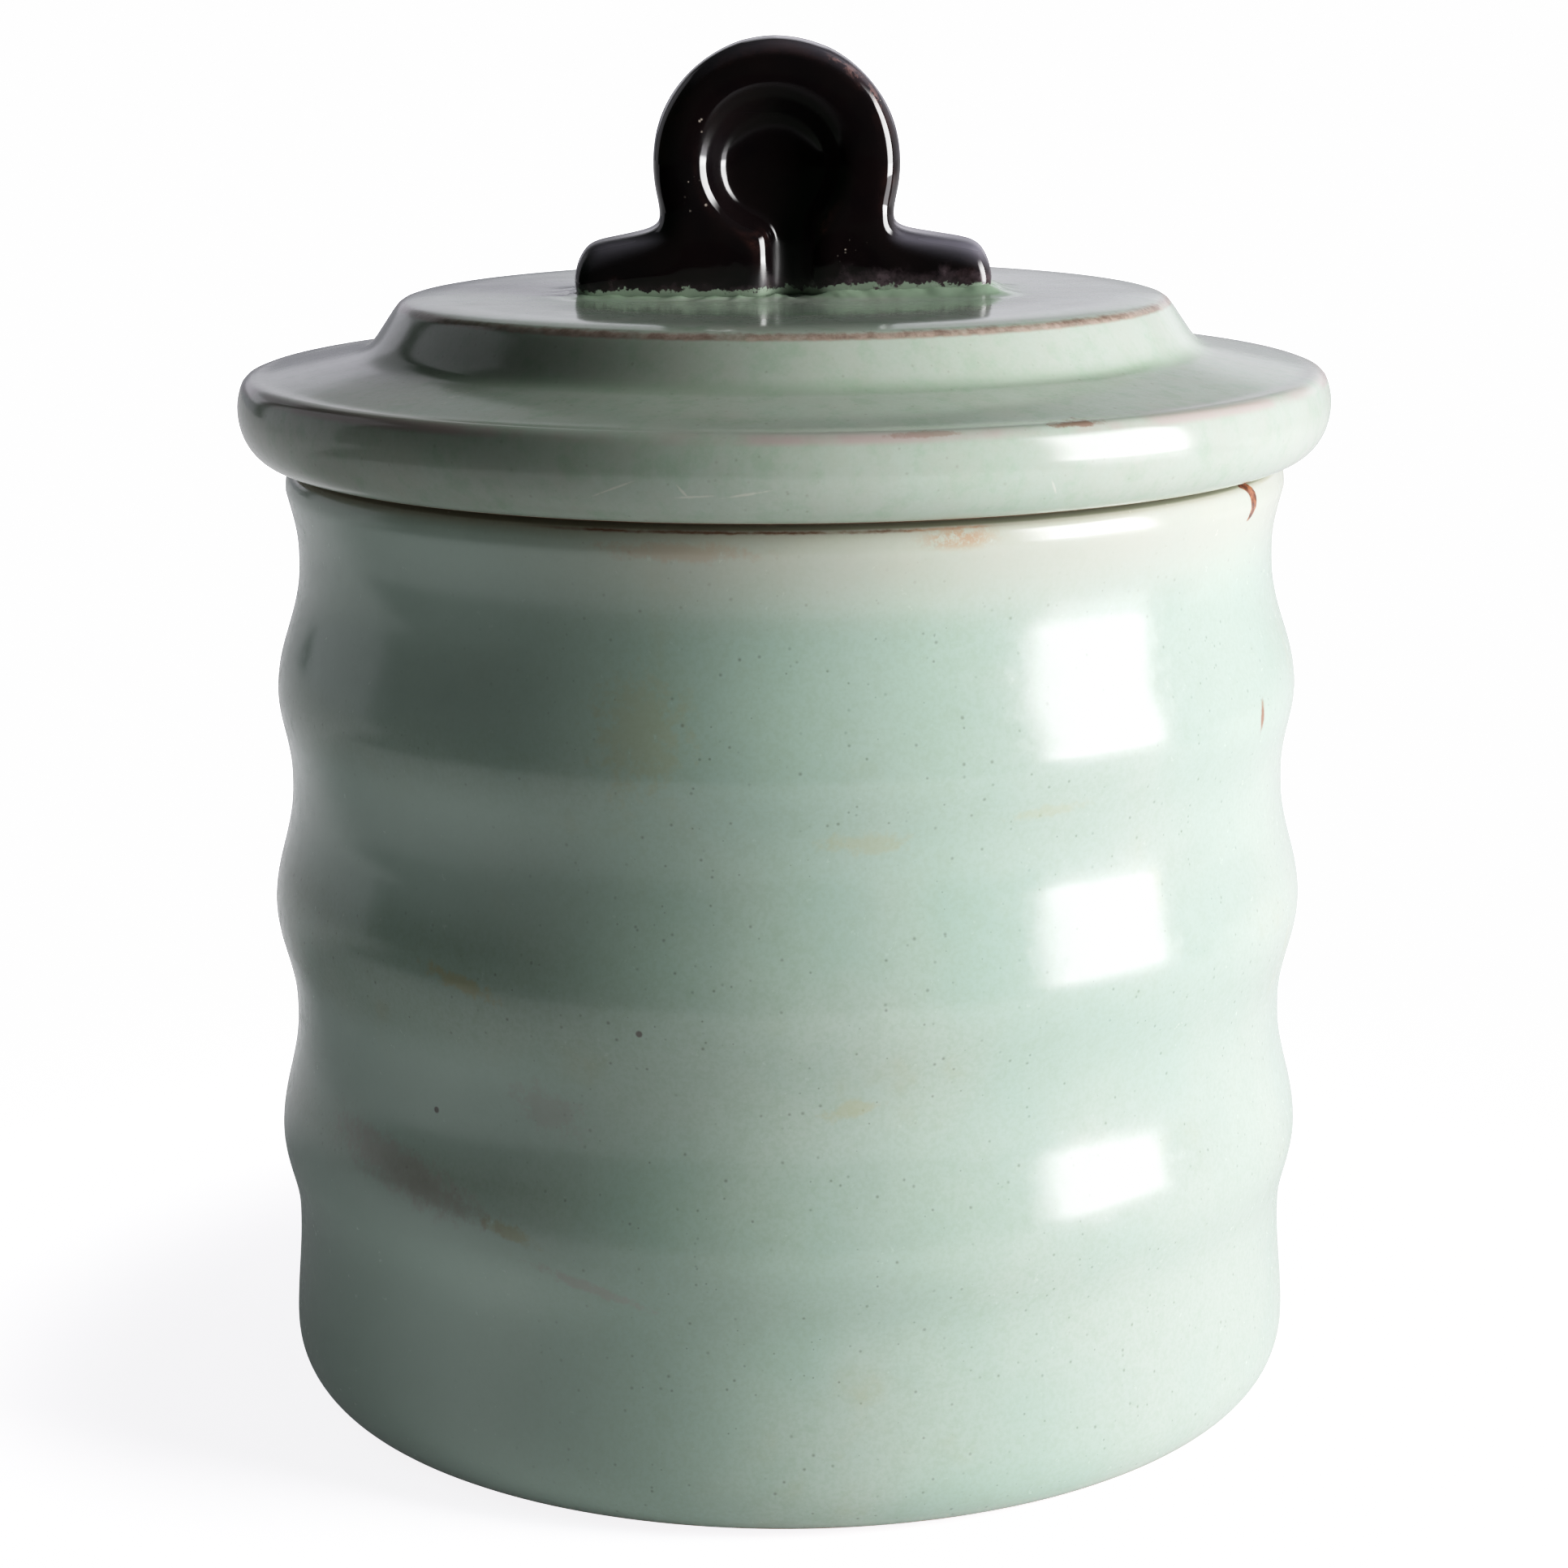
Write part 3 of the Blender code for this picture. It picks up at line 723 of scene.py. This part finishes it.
def lid_glaze():
    """Celadon on the lid: greyer, brown along the step where it runs thin, rosy along the bead's top."""
    material, n = material_nodes("celadon_lid")
    jar = Jar(n)
    top = LID_HIGH.z
    bead_top = top - 10.3 * MM
    colour = celadon_ground(n, jar)
    colour = n.mix(n.blend(jar.tatter, 0.15, 0.9), colour, STONE)
    mottled = n.step(n.noise(jar.place, 330.0, 5.0, 0.7), 0.45, 0.70, 0.0, 0.30)
    colour = n.mix(mottled, colour, DEEP_GREEN)
    colour = n.mix(n.product(n.attribute("pool"), 0.35), colour, POOL_GREEN)
    near_foot = n.step(jar.radius, 27 * MM, 30 * MM, 1.0, 0.0)
    bed = n.product(n.step(jar.height, top - 1.75 * MM, top - 1.3 * MM), near_foot)
    colour = n.mix(n.product(bed, 0.6), colour, BED_GREEN)

    inner = n.step(jar.radius, 54 * MM, 56 * MM, 1.0, 0.0)
    wavy = n.math("ADD", jar.height, n.product(n.math("SUBTRACT", jar.fray, 0.5), 0.45 * MM))
    edge = n.product(n.band(wavy, top - 2.55 * MM, top - 1.9 * MM, 0.18 * MM), inner)
    off_crown = n.step(jar.radius, CROWN_RADIUS, CROWN_RADIUS + 3 * MM)
    edge = n.product(edge, n.step(jar.tatter, 0.30, 0.55, 0.6, 1.0), off_crown)
    colour = n.mix(n.product(edge, 0.85), colour, n.mix(n.step(jar.fray, 0.3, 0.7), *EDGE_COLOURS))

    rim = n.math("SUBTRACT", 1.0, inner)
    patchy = n.step(n.noise(jar.place, 60.0, 4.0, 0.6), 0.34, 0.58)
    blush = n.product(n.band(jar.height, bead_top - 0.7 * MM, bead_top + 0.25 * MM, 0.35 * MM), rim, patchy)
    colour = n.mix(n.product(blush, 0.8), colour, ROSE)
    crest = bead_top / MM
    faint_burn = n.product(jar.oval(13, crest, 4.0, 0.3, 0, 1.3), 0.5)
    burn = n.math("MAXIMUM", jar.oval(29, crest + 0.15, 3.6, 0.34, 0, 1.1), faint_burn)
    colour = n.mix(n.product(burn, 0.75), colour, RUST)

    deposit = n.product(n.band(jar.radius, 47 * MM, 60 * MM, 2 * MM), n.step(jar.upward, 0.8, 0.95))
    flecks = n.step(n.noise(jar.place, 420.0, 4.0, 0.75), 0.56, 0.72)
    where = n.step(n.noise(jar.place, 48.0, 2.0), 0.48, 0.66)
    colour = n.mix(n.product(deposit, flecks, where, 0.45), colour, CHALK)
    colour = n.mix(n.product(scratches(n, jar), 0.5), colour, CHALK)

    seat = LID_LOW.z + 7.2 * MM
    below_seat = n.step(jar.height, seat - 0.05 * MM, seat + 0.05 * MM, 1.0, 0.0)
    bare = n.product(below_seat, n.step(jar.radius, 47 * MM, 47.5 * MM))
    colour = n.mix(bare, colour, bare_clay(n, jar))
    glaze_surface(n, jar, colour, bare, (0.11, 0.16), 0.04)
    return material


def dark_brown():
    """Black-brown iron glaze: red where it is thin, dusted with crystals, splashed with celadon below, and
    with a painted lavender sheen on its upward faces.
    """
    material, n = material_nodes("dark_brown_glaze")
    jar = Jar(n)
    place = jar.place
    x = n.add("SeparateXYZ", Vector=place).outputs["X"]
    clouds = n.noise(place, 130.0, 4.0, 0.6)
    colour = n.mix(n.step(clouds, 0.3, 0.7), *BLACK_BROWNS)
    up = n.math("SUBTRACT", jar.height, RING_HEIGHT)

    def from_ring(side, rise):
        first = n.math("POWER", n.math("SUBTRACT", x, side * MM), 2.0)
        second = n.math("POWER", n.math("SUBTRACT", up, rise * MM), 2.0)
        return n.math("SQRT", n.math("ADD", first, second))

    from_middle = from_ring(-0.7, 0.0)
    thin = n.product(n.attribute("thin"), n.step(n.noise(place, 240.0, 5.0, 0.65), 0.42, 0.66))
    thin = n.product(thin, n.blend(n.band(from_middle, 7.8 * MM, 9.6 * MM, 0.6 * MM), 0.25, 0.6))
    colour = n.mix(thin, colour, THIN_RED)
    worn = n.product(n.band(from_middle, 12.9 * MM, 13.7 * MM, 0.3 * MM), n.step(jar.fray, 0.49, 0.60))
    worn = n.product(worn, n.band(n.math("ARCTAN2", x, up), 0.42, 1.05, 0.08))
    colour = n.mix(n.product(worn, 0.7), colour, WORN_RED)
    # Painted reflection: the handle's upward faces, most of all on the feet and away from the ring's middle,
    # are painted lavender-grey as a sheen from the pale walls. The same mask also makes them more satin.
    top_sheen = n.product(n.step(jar.upward, 0.15, 0.90), n.blend(n.step(up, -9 * MM, -7 * MM), 0.9, 0.28))
    top_sheen = n.product(top_sheen, n.step(from_middle, 10.5 * MM, 12.0 * MM))
    colour = n.mix(top_sheen, colour, PAINTED_SHEEN_GREY)

    hem = n.math("SUBTRACT", jar.height, HANDLE_LOW.z - 1.6 * MM)
    right = n.step(x, 1 * MM, 9 * MM)
    reach = n.blend(right, 1.2 * MM, 2.8 * MM)
    ragged = n.product(n.math("SUBTRACT", n.noise(place, 420.0, 5.0, 0.65), 0.5), 5 * MM)
    dusted = n.step(n.math("SUBTRACT", n.math("ADD", hem, ragged), reach), -1.2 * MM, 0.6 * MM, 1.0, 0.0)
    mottle = n.product(n.step(n.noise(place, 300.0, 3.0), 0.25, 0.70), n.step(jar.fray, 0.25, 0.75))
    crystal = n.product(dusted, n.blend(mottle, 0.15, 1.3), n.blend(right, 0.6, 0.8))
    colour = n.mix(crystal, colour, CRYSTAL_MAUVE)
    jagged = n.product(n.math("SUBTRACT", n.noise(place, 900.0, 4.0, 0.7), 0.5), 2.6 * MM)
    bed_line = n.blend(n.step(x, 2.5 * MM, 7 * MM), 0.60 * MM, 1.15 * MM)
    over_bed = n.math("SUBTRACT", n.math("ADD", hem, jagged), bed_line)
    splash = n.step(over_bed, -0.1 * MM, 0.1 * MM, 1.0, 0.0)
    colour = n.mix(n.product(splash, 0.85), colour, SPLASH_GREEN)

    spots = [n.step(from_ring(*spot), 0.6 * MM, 1.6 * MM, 1.0, 0.0) for spot in SPARK_SPOTS]
    sparks = n.product(n.specks(place, 1500.0, 0.65, 0.42), strongest(n, *spots))
    colour = n.mix(sparks, colour, SPARK_CREAM)

    in_dish = n.step(from_middle, 8.8 * MM, 9.6 * MM, 1.0, 0.0)
    dish = n.product(in_dish, n.step(up, -2.0 * MM, 6.0 * MM))
    slot = n.product(n.band(x, -1.3 * MM, 3.2 * MM, 0.3 * MM), n.step(up, -9.5 * MM, -7.5 * MM, 1.0, 0.0))
    drip = n.product(n.band(x, -4.0 * MM, 3.2 * MM, 0.5 * MM), n.step(up, -14.0 * MM, -10.0 * MM, 1.0, 0.0))
    slot = n.product(n.math("MAXIMUM", slot, drip), 0.40)
    dish_floor = n.step(from_middle, 7.0 * MM, 7.6 * MM, 0.05, 0.0)
    satin = strongest(n, n.product(dish, 0.22), n.product(top_sheen, 0.30), slot, dish_floor)
    roughness = n.blend(crystal, n.math("ADD", 0.055, satin), 0.42)
    bump = n.add("Bump", Height=n.noise(place, 190.0, 2.0), Distance=0.00010, Strength=0.6)
    shader = n.add("BsdfPrincipled", Base_Color=colour, Roughness=roughness, Normal=bump.outputs[0], IOR=1.55)
    dim = n.product(in_dish, n.step(up, 1.0 * MM, 4.0 * MM))
    n.put(shader.inputs["Specular IOR Level"], n.blend(dim, 0.5, 0.22))
    n.add("OutputMaterial", Surface=shader.outputs[0])
    return material


# ------------------------------------------------------------------------------------------------ studio

CAMERA_SIDE = -0.0003
CAMERA_DISTANCE = 0.4335
CAMERA_HEIGHT = 0.1678
CAMERA_PITCH = 12.65  # degrees down
CAMERA_ROLL = -0.37
CAMERA_LENS = 86.5
SENSOR_WIDTH = 36.0
KEY_AZIMUTH = 70.0
KEY_DISTANCE = 0.90
KEY_SIZE = (0.53, 0.86)
KEY_RADIANCE = 17.3
TABLE_REACH = 0.42  # how far the lit part of the table reaches in front of the jar and beside it
TABLE_HALF = 3.0
TABLE_GAP = 0.0002
BRIGHTEST = 2.2  # the top of the tone curve's range of scene brightness

# The pale walls behind the jar, from the floor up: low, bright and dim.
RIGHT_WALLS = (0.50, 0.49, 0.53), (0.90, 0.88, 0.95), (0.52, 0.52, 0.55)
LEFT_WALLS = (0.34, 0.34, 0.37), (0.78, 0.77, 0.83), (0.40, 0.40, 0.42)

# Pairs of scene brightness and printed brightness.
TONES = (
    (0.03, 0.020),
    (0.10, 0.082),
    (0.22, 0.215),
    (0.45, 0.475),
    (0.75, 0.74),
    (1.05, 0.90),
    (1.3, 0.99),
    (1.6, 1.0),
)


def facing(azimuth, distance, height):
    """A place at an azimuth round the jar, and the turn that makes a light there look at the axis."""
    angle = math.radians(azimuth)
    place = Vector((distance * math.sin(angle), -distance * math.cos(angle), height))
    return place, Vector((place.x, place.y, 0.0)).to_track_quat("Z", "Y").to_euler()


def build_key_light():
    """A tall soft box at the right, weaker towards its top and along its nearer edge."""
    data = bpy.data.lights.new("key", "AREA")
    data.shape = "RECTANGLE"
    data.size, data.size_y = KEY_SIZE
    data.energy = KEY_RADIANCE * KEY_SIZE[0] * KEY_SIZE[1] * math.pi
    key = bpy.data.objects.new("key", data)
    key.location, key.rotation_euler = facing(KEY_AZIMUTH, KEY_DISTANCE, KEY_SIZE[1] / 2)
    key.visible_camera = False
    data.use_nodes = True
    n = Nodes(data.node_tree)
    spot = n.add("SeparateXYZ", Vector=n.add("NewGeometry").outputs["Position"])
    angle = n.math("DEGREES", n.math("ARCTAN2", spot.outputs["X"], n.product(spot.outputs["Y"], -1.0)))
    half_span = math.degrees(math.atan(KEY_SIZE[0] / 2 / KEY_DISTANCE))
    low_edge = KEY_AZIMUTH - half_span
    fade_in = n.step(angle, low_edge - 1, low_edge + 0.40 * half_span)
    fade_up = n.step(spot.outputs["Z"], KEY_SIZE[1] * 0.50, KEY_SIZE[1] * 1.02, 1.0, 0.0)
    emission = n.add("Emission", Strength=n.product(fade_in, fade_up))
    n.add("OutputLight", Surface=emission.outputs[0])
    bpy.context.scene.collection.objects.link(key)


def build_world():
    """White to the camera, and to everything else a dark studio with pale walls behind the jar."""
    world = bpy.data.worlds.new("studio")
    world.use_nodes = True
    bpy.context.scene.world = world
    n = Nodes(world.node_tree)
    way = n.add("SeparateXYZ", Vector=n.add("TexCoord").outputs["Generated"])
    angle = n.math("ARCTAN2", way.outputs["X"], n.math("MULTIPLY", way.outputs["Y"], -1.0))
    azimuth = n.math("DEGREES", angle)
    height = n.math("DEGREES", n.math("ARCSINE", way.outputs["Z"]))

    def panel(left, right, low, high, soft):
        return n.product(n.band(azimuth, left, right, soft), n.band(height, low, high, soft))

    light = n.mix(n.step(height, 25, 45), (0.012, 0.021, 0.014), (0.050, 0.052, 0.052))
    for left, right, walls in ((143, 400, RIGHT_WALLS), (-400, -143, LEFT_WALLS)):
        low_wall, bright_wall, dim_wall = walls
        light = n.mix(panel(left, right, -60, 27, 2), light, dim_wall)
        light = n.mix(panel(left, right, -60, 5, 1), light, low_wall)
        light = n.mix(panel(left, right, 5, 14, 1), light, bright_wall)
    light = n.mix(panel(96, 140, -10, 60, 6), light, (0.62, 0.62, 0.66))
    light = n.mix(panel(-137, -104, -10, 40, 2), light, (0.50, 0.50, 0.53))
    studio = n.add("Background", Color=light)
    white = n.add("Background", Color=(1.0, 1.0, 1.0), Strength=3.0)
    seen = n.add("LightPath").outputs["Is Camera Ray"]
    mixed = n.add("MixShader", Fac=seen)
    n.put(mixed.inputs[1], studio.outputs[0])
    n.put(mixed.inputs[2], white.outputs[0])
    n.add("OutputWorld", Surface=mixed.outputs[0])


def pale_floor():
    """A pale table that the camera sees as nearly white, and that ends in the dark in front of the jar."""
    material, n = material_nodes("pale_floor")
    spot = n.add("SeparateXYZ", Vector=n.add("TexCoord").outputs["Object"])
    x, y = spot.outputs["X"], spot.outputs["Y"]
    away = n.math("SQRT", n.math("ADD", n.math("POWER", x, 2.0), n.math("POWER", y, 2.0)))
    behind = n.step(y, 0.05, 0.20)
    near = n.step(away, TABLE_REACH - 0.03, TABLE_REACH + 0.03, 1.0, 0.0)
    near = n.math("MAXIMUM", near, behind)
    seen = n.add("LightPath").outputs["Is Camera Ray"]
    fade = n.step(away, 0.075, 0.20)
    azimuth = n.math("DEGREES", n.math("ARCTAN2", x, n.product(y, -1.0)))
    shine = n.product(n.band(azimuth, KEY_AZIMUTH - 12, KEY_AZIMUTH + 17, 3), n.step(away, 0.38, 0.52))
    fill = n.product(near, n.blend(behind, n.step(away, 0.09, 0.24, 0.05, 0.13), 0.35))
    glow = n.blend(seen, n.math("ADD", fill, n.product(shine, 5.0)), n.blend(fade, 1.0, 3.0))
    albedo = n.blend(seen, n.math("MULTIPLY", near, 0.8), n.blend(fade, 0.8, 0.0))
    colour = n.mix(albedo, (0.0, 0.0, 0.0), (1.0, 0.985, 1.0))
    diffuse = n.add("BsdfDiffuse", Color=colour)
    emission = n.add("Emission", Color=(0.985, 0.975, 1.0), Strength=glow)
    both = n.add("AddShader")
    n.put(both.inputs[0], diffuse.outputs[0])
    n.put(both.inputs[1], emission.outputs[0])
    n.add("OutputMaterial", Surface=both.outputs[0])
    return material


def build_floor():
    half = TABLE_HALF
    corners = [(-half, -half, 0), (half, -half, 0), (half, half, 0), (-half, half, 0)]
    mesh = bpy.data.meshes.new("table")
    mesh.from_pydata(corners, [], [(0, 1, 2, 3)])
    floor = new_object("table", mesh, pale_floor())
    floor.location.z = CAD_BOX[0][2] - TABLE_GAP


def build_camera():
    data = bpy.data.cameras.new("camera")
    data.lens = CAMERA_LENS
    data.sensor_width = SENSOR_WIDTH
    data.clip_start = 0.01
    camera = bpy.data.objects.new("camera", data)
    look = Matrix.Rotation(math.radians(90 - CAMERA_PITCH), 4, "X")
    roll = Matrix.Rotation(math.radians(CAMERA_ROLL), 4, "Z")
    camera.matrix_world = Matrix.Translation((CAMERA_SIDE, -CAMERA_DISTANCE, CAMERA_HEIGHT)) @ look @ roll
    bpy.context.scene.collection.objects.link(camera)
    bpy.context.scene.camera = camera


def develop_picture():
    """A camera's tone curve: deeper shadows, and highlights that roll off to white."""
    view = bpy.context.scene.view_settings
    view.view_transform = "Standard"
    view.use_curve_mapping = True
    mapping = view.curve_mapping
    mapping.white_level = (BRIGHTEST,) * 3
    curve = mapping.curves[3]
    for exposed, printed in TONES:
        curve.points.new(exposed / BRIGHTEST, printed)
    mapping.update()


def main():
    build_body(body_glaze())
    build_lid(lid_glaze())
    build_handle(dark_brown())
    build_key_light()
    build_world()
    build_floor()
    build_camera()
    develop_picture()


main()
